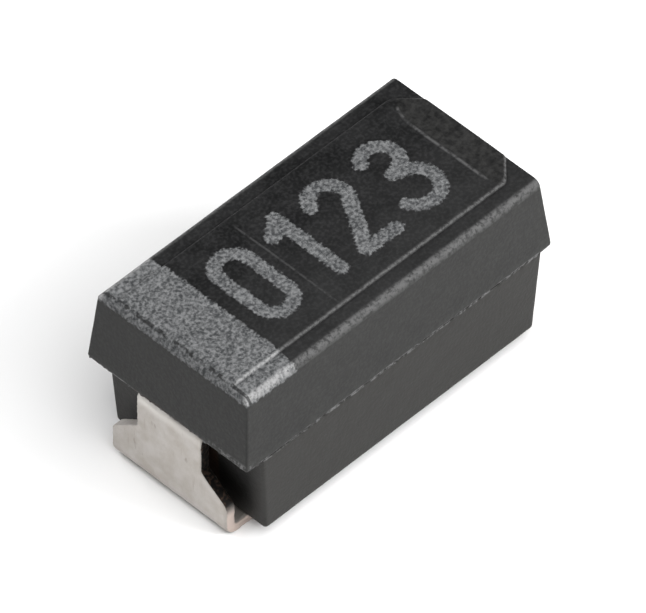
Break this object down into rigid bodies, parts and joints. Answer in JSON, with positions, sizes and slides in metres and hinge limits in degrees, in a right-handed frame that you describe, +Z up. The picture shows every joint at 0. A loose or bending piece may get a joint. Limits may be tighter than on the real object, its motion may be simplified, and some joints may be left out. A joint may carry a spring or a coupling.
{
  "type": "tantalum capacitor",
  "caption": "Surface-mount tantalum chip capacitor: drafted black epoxy case with a raised marking panel, a light anode band and folded tinned strip terminals.",
  "frame": {"origin": "on the mounting plane, under the middle of the case", "axes": "+X along the part from the anode end to the cathode end, +Z up from the mounting plane to the marked face"},
  "size_m": [0.0032, 0.0016, 0.0016],
  "materials": {
    "case_epoxy": "transfer-moulded black epoxy, matte sides, laser-marked top",
    "tinned_strip": "matte tin plating with fine rolling marks, copper-brown sheared edges",
    "tantalum_wire": "drawn bluish grey metal",
    "white_polymer": "waxy white fluoropolymer",
    "sintered_tantalum": "porous sintered metal powder",
    "manganese_dioxide": "dull black mineral crust",
    "graphite": "smooth dark grey with a faint metallic sheen",
    "silver_paint": "matte flaked silver paint",
    "silver_adhesive": "dull silver-filled adhesive"
  },
  "bodies": {
    "root": {"case": "case_epoxy", "anode_terminal": "tinned_strip", "cathode_terminal": "tinned_strip", "anode_wire": "tantalum_wire", "insulating_washer": "white_polymer", "tantalum_pellet": "sintered_tantalum", "manganese_dioxide": "manganese_dioxide", "graphite_coat": "graphite", "silver_coat": "silver_paint", "silver_adhesive": "silver_adhesive"}
  },
  "joints": []
}
